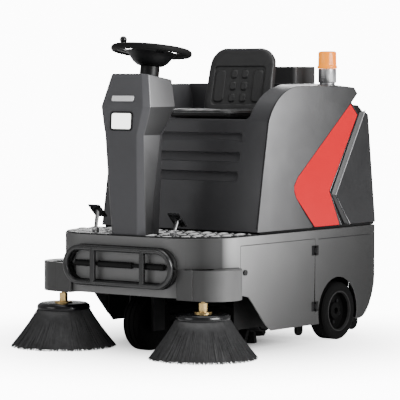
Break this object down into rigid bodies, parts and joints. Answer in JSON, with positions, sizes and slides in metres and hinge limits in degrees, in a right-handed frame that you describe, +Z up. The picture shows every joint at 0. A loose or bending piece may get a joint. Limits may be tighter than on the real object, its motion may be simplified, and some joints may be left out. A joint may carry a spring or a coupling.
{
  "type": "ride-on sweeper",
  "caption": "Compact ride-on floor sweeper with side brushes, main broom, seat, steering column, rear hopper and beacon.",
  "frame": {"origin": "on the floor, under the centre of the machine's bounding box", "axes": "+Z up, front towards -Y, +X to the operator's left"},
  "size_m": [1.21, 1.461, 1.3365],
  "materials": {
    "shell_grey": "metallic grey moulding",
    "shell_dark": "dark metallic moulding",
    "shell_black": "charcoal moulding",
    "red_insert": "gloss red",
    "deck_black": "black",
    "tread_mat": "ribbed, with bright raised bars",
    "black_tube": "gloss black powder coat",
    "beacon_metal": "satin",
    "beacon_orange": "clear orange, lit",
    "headlight_white": "lit white panel",
    "black_plastic": "fine grained black",
    "stop_red": "gloss red",
    "tyre_rubber": "solid black",
    "bolt_steel": "zinc plated",
    "frame_steel": "black paint",
    "motor_paint": "dark grey paint",
    "brass_fitting": "turned",
    "bristle_black": "nylon filaments",
    "skirt_rubber": "matt",
    "seat_vinyl": "glossy black vinyl",
    "battery_case": "black case",
    "filter_paper": "pleated"
  },
  "bodies": {
    "chassis": {"chassis_frame": "frame_steel", "lower_body": "shell_grey", "deck_plate": "deck_black", "deck_mat": "tread_mat", "seat_console": "shell_dark", "side_shell_left": "shell_dark", "side_shell_right": "shell_dark", "chevrons": "red_insert", "rear_deck": "shell_black", "rear_cover": "shell_black", "rear_box": "shell_black", "beacon_base": "beacon_metal", "beacon_lens": "beacon_orange", "bumper_loop": "black_tube", "bumper_rod": "black_tube", "brush_pods": "shell_grey", "column_cover": "shell_dark", "column_head": "shell_dark", "headlight_frame": "black_plastic", "headlight_lens": "headlight_white", "dash_panel": "shell_black", "side_skirts": "skirt_rubber", "pedal_brackets": "beacon_metal", "door_hinges": "black_tube", "batteries": "battery_case", "dust_filter": "filter_paper", "suction_fan": "motor_paint"},
    "steering": {"steering_fork": "black_tube"},
    "front_wheel": {"front_wheel": "tyre_rubber"},
    "steering_wheel": {"steering_shaft": "black_plastic", "steering_rim": "black_plastic"},
    "spinner_knob": {"spinner_knob": "black_plastic"},
    "horn_button": {"horn_button": "black_plastic"},
    "rear_wheel_left": {"rear_wheel_left": "tyre_rubber", "lug_bolts_left": "bolt_steel"},
    "rear_wheel_right": {"rear_wheel_right": "tyre_rubber", "lug_bolts_right": "bolt_steel"},
    "brush_lift_left": {"brush_motor_left": "motor_paint"},
    "brush_lift_right": {"brush_motor_right": "motor_paint"},
    "side_brush_left": {"side_brush_left": "brass_fitting", "bristles_left": "bristle_black"},
    "side_brush_right": {"side_brush_right": "brass_fitting", "bristles_right": "bristle_black"},
    "broom_lift": {"broom_arms": "frame_steel", "broom_motor": "motor_paint"},
    "main_broom": {"broom_core": "frame_steel", "broom_bristles": "bristle_black"},
    "pedal_left": {"pedal_left": "black_tube"},
    "pedal_right": {"pedal_right": "black_tube"},
    "door_left": {"door_left": "shell_grey"},
    "door_right": {"door_right": "shell_grey"},
    "door_knob_left": {"door_knobs_left": "black_plastic"},
    "door_knob_right": {"door_knobs_right": "black_plastic"},
    "seat": {"seat_pan": "black_plastic", "seat_cushion": "seat_vinyl", "seat_back": "seat_vinyl"},
    "hopper": {"hopper": "shell_grey"},
    "hopper_rollers": {"hopper_rollers": "black_plastic"},
    "key_switch": {"key_switch": "beacon_metal"},
    "stop_button": {"stop_button": "stop_red"}
  },
  "joints": [
    {"name": "steer", "type": "hinge", "parent": "chassis", "child": "steering", "pos_m": [0, -0.4, 0.3], "axis": [0, 0, 1], "range_deg": [-60, 60]},
    {"name": "front_wheel_spin", "type": "hinge", "parent": "steering", "child": "front_wheel", "pos_m": [0, -0.4, 0.122], "axis": [1, 0, 0], "continuous": true},
    {"name": "wheel_turn", "type": "hinge", "parent": "chassis", "child": "steering_wheel", "pos_m": [0, -0.367, 1.271], "axis": [0, 0.1426, 0.9898], "range_deg": [-180, 180]},
    {"name": "knob_spin", "type": "hinge", "parent": "steering_wheel", "child": "spinner_knob", "pos_m": [-0.159, -0.367, 1.271], "axis": [0, 0.1426, 0.9898], "continuous": true},
    {"name": "horn_press", "type": "slide", "parent": "steering_wheel", "child": "horn_button", "axis": [0, -0.1426, -0.9898], "range_m": [0, 0.004]},
    {"name": "rear_wheel_left_spin", "type": "hinge", "parent": "chassis", "child": "rear_wheel_left", "pos_m": [0.387, 0.426, 0.127], "axis": [1, 0, 0], "continuous": true},
    {"name": "brush_left_lift", "type": "slide", "parent": "chassis", "child": "brush_lift_left", "axis": [0, 0, 1], "range_m": [0, 0.05]},
    {"name": "brush_left_spin", "type": "hinge", "parent": "brush_lift_left", "child": "side_brush_left", "pos_m": [0.377, -0.503, 0.17], "axis": [0, 0, 1], "continuous": true},
    {"name": "door_left_swing", "type": "hinge", "parent": "chassis", "child": "door_left", "pos_m": [0.441, 0.23, 0.28], "axis": [0, 0, 1], "range_deg": [0, 100]},
    {"name": "door_left_latch", "type": "hinge", "parent": "door_left", "child": "door_knob_left", "pos_m": [0.434, -0.292, 0.345], "axis": [1, 0, 0], "range_deg": [0, 90]},
    {"name": "rear_wheel_right_spin", "type": "hinge", "parent": "chassis", "child": "rear_wheel_right", "pos_m": [-0.387, 0.426, 0.127], "axis": [1, 0, 0], "continuous": true},
    {"name": "brush_right_lift", "type": "slide", "parent": "chassis", "child": "brush_lift_right", "axis": [0, 0, 1], "range_m": [0, 0.05]},
    {"name": "brush_right_spin", "type": "hinge", "parent": "brush_lift_right", "child": "side_brush_right", "pos_m": [-0.377, -0.503, 0.17], "axis": [0, 0, 1], "continuous": true},
    {"name": "door_right_swing", "type": "hinge", "parent": "chassis", "child": "door_right", "pos_m": [-0.441, 0.23, 0.28], "axis": [0, 0, -1], "range_deg": [0, 100]},
    {"name": "door_right_latch", "type": "hinge", "parent": "door_right", "child": "door_knob_right", "pos_m": [-0.434, -0.292, 0.345], "axis": [1, 0, 0], "range_deg": [0, 90]},
    {"name": "broom_height", "type": "hinge", "parent": "chassis", "child": "broom_lift", "pos_m": [0, 0.23, 0.265], "axis": [-1, 0, 0], "range_deg": [0, 8]},
    {"name": "broom_spin", "type": "hinge", "parent": "broom_lift", "child": "main_broom", "pos_m": [0, 0.04, 0.131], "axis": [1, 0, 0], "continuous": true},
    {"name": "pedal_left_press", "type": "hinge", "parent": "chassis", "child": "pedal_left", "pos_m": [0.2, -0.476, 0.514], "axis": [1, 0, 0], "range_deg": [0, 15]},
    {"name": "pedal_right_press", "type": "hinge", "parent": "chassis", "child": "pedal_right", "pos_m": [-0.2, -0.5, 0.514], "axis": [1, 0, 0], "range_deg": [0, 15]},
    {"name": "seat_slide", "type": "slide", "parent": "chassis", "child": "seat", "axis": [0, -1, 0], "range_m": [0, 0.06]},
    {"name": "hopper_slide", "type": "slide", "parent": "chassis", "child": "hopper", "axis": [0, 1, 0], "range_m": [0, 0.45]},
    {"name": "rollers_spin", "type": "hinge", "parent": "hopper", "child": "hopper_rollers", "pos_m": [0, 0.672, 0.059], "axis": [1, 0, 0], "continuous": true},
    {"name": "key_turn", "type": "hinge", "parent": "chassis", "child": "key_switch", "pos_m": [-0.036, -0.344, 1.095], "axis": [0, 1, 0], "range_deg": [0, 90]},
    {"name": "stop_press", "type": "slide", "parent": "chassis", "child": "stop_button", "axis": [0, -1, 0], "range_m": [0, 0.004]}
  ],
  "couplings": [
    {"joint": "wheel_turn", "follows": "steer", "ratio": 3}
  ]
}
